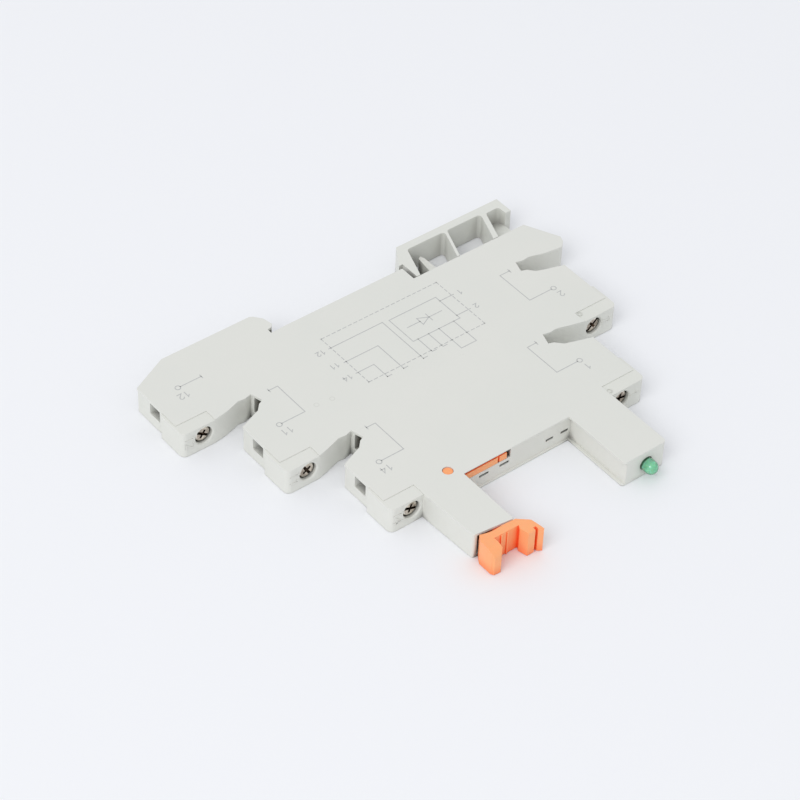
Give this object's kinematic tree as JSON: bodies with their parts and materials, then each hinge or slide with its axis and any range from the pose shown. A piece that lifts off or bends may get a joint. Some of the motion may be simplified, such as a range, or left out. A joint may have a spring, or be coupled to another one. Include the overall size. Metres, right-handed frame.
{
  "type": "slim plug-in relay socket",
  "caption": "Slim DIN rail socket for a plug-in interface relay, with stepped screw terminals, link slots, rail foot, orange latch and green lamp.",
  "frame": {"origin": "middle of the box at the bottom side face, as the socket lies on its side", "axes": "+X from the output terminals to the coil terminals, +Y to the rail, +Z across the 6.2 mm width to the cover"},
  "size_m": [0.097, 0.0797, 0.0062],
  "materials": {
    "housing_plastic": "light warm grey moulded polyamide, fine matt texture",
    "latch_plastic": "orange moulded plastic, satin",
    "foot_plastic": "light grey moulded plastic, slightly darker than the housing",
    "lamp_lens": "translucent green lens",
    "lead_wire": "tinned wire",
    "board_laminate": "green solder mask on laminate",
    "chip_black": "black moulded body",
    "resistor_body": "light blue lacquer",
    "capacitor_body": "yellow moulded body",
    "screw_steel": "nickel plated steel",
    "cage_steel": "zinc plated steel",
    "bar_metal": "tinned copper alloy",
    "spring_bronze": "spring bronze"
  },
  "bodies": {
    "housing": {"housing_base": "housing_plastic", "housing_cover": "housing_plastic", "led_lamp": "lamp_lens", "led_leads": "lead_wire", "circuit_board": "board_laminate", "bridge_rectifier": "chip_black", "series_resistors": "resistor_body", "smoothing_capacitor": "capacitor_body", "suppression_diode": "chip_black", "busbar_12": "bar_metal", "busbar_11": "bar_metal", "busbar_14": "bar_metal", "busbar_a2": "bar_metal", "busbar_a1": "bar_metal", "relay_contact_12": "spring_bronze", "relay_contact_11": "spring_bronze", "relay_contact_14": "spring_bronze", "relay_contact_a2": "spring_bronze", "relay_contact_a1": "spring_bronze"},
    "foot": {"rail_foot": "foot_plastic"},
    "latch": {"latch_lever": "latch_plastic"},
    "screw_12": {"terminal_screw_12": "screw_steel"},
    "cage_12": {"clamp_cage_12": "cage_steel"},
    "screw_11": {"terminal_screw_11": "screw_steel"},
    "cage_11": {"clamp_cage_11": "cage_steel"},
    "screw_14": {"terminal_screw_14": "screw_steel"},
    "cage_14": {"clamp_cage_14": "cage_steel"},
    "screw_a2": {"terminal_screw_a2": "screw_steel"},
    "cage_a2": {"clamp_cage_a2": "cage_steel"},
    "screw_a1": {"terminal_screw_a1": "screw_steel"},
    "cage_a1": {"clamp_cage_a1": "cage_steel"}
  },
  "joints": [
    {"name": "foot_slide", "type": "slide", "parent": "housing", "child": "foot", "axis": [1, 0, 0], "range_m": [0, 0.0022], "stiffness_N_per_m": 1500},
    {"name": "latch_swing", "type": "hinge", "parent": "housing", "child": "latch", "pos_m": [-0.0137, -0.01752, 0.0031], "axis": [0, 0, -1], "range_deg": [0, 10]},
    {"name": "screw_turn_12", "type": "hinge", "parent": "housing", "child": "screw_12", "pos_m": [-0.0434, 0.02028, 0.00335], "axis": [0, 1, 0], "range_deg": [0, 1945]},
    {"name": "cage_lift_12", "type": "slide", "parent": "housing", "child": "cage_12", "axis": [0, -1, 0], "range_m": [0, 0.0027]},
    {"name": "screw_turn_11", "type": "hinge", "parent": "housing", "child": "screw_11", "pos_m": [-0.03325, 0.00058, 0.00335], "axis": [0, 1, 0], "range_deg": [0, 1945]},
    {"name": "cage_lift_11", "type": "slide", "parent": "housing", "child": "cage_11", "axis": [0, -1, 0], "range_m": [0, 0.0027]},
    {"name": "screw_turn_14", "type": "hinge", "parent": "housing", "child": "screw_14", "pos_m": [-0.0238, -0.01902, 0.00335], "axis": [0, 1, 0], "range_deg": [0, 1945]},
    {"name": "cage_lift_14", "type": "slide", "parent": "housing", "child": "cage_14", "axis": [0, -1, 0], "range_m": [0, 0.0027]},
    {"name": "screw_turn_a2", "type": "hinge", "parent": "housing", "child": "screw_a2", "pos_m": [0.03785, -0.00012, 0.00335], "axis": [0, 1, 0], "range_deg": [0, 1945]},
    {"name": "cage_lift_a2", "type": "slide", "parent": "housing", "child": "cage_a2", "axis": [0, -1, 0], "range_m": [0, 0.0027]},
    {"name": "screw_turn_a1", "type": "hinge", "parent": "housing", "child": "screw_a1", "pos_m": [0.02795, -0.01962, 0.00335], "axis": [0, 1, 0], "range_deg": [0, 1945]},
    {"name": "cage_lift_a1", "type": "slide", "parent": "housing", "child": "cage_a1", "axis": [0, -1, 0], "range_m": [0, 0.0027]}
  ],
  "couplings": [
    {"joint": "screw_turn_12", "follows": "cage_lift_12", "rad_per_m": 12566},
    {"joint": "screw_turn_11", "follows": "cage_lift_11", "rad_per_m": 12566},
    {"joint": "screw_turn_14", "follows": "cage_lift_14", "rad_per_m": 12566},
    {"joint": "screw_turn_a2", "follows": "cage_lift_a2", "rad_per_m": 12566},
    {"joint": "screw_turn_a1", "follows": "cage_lift_a1", "rad_per_m": 12566}
  ]
}
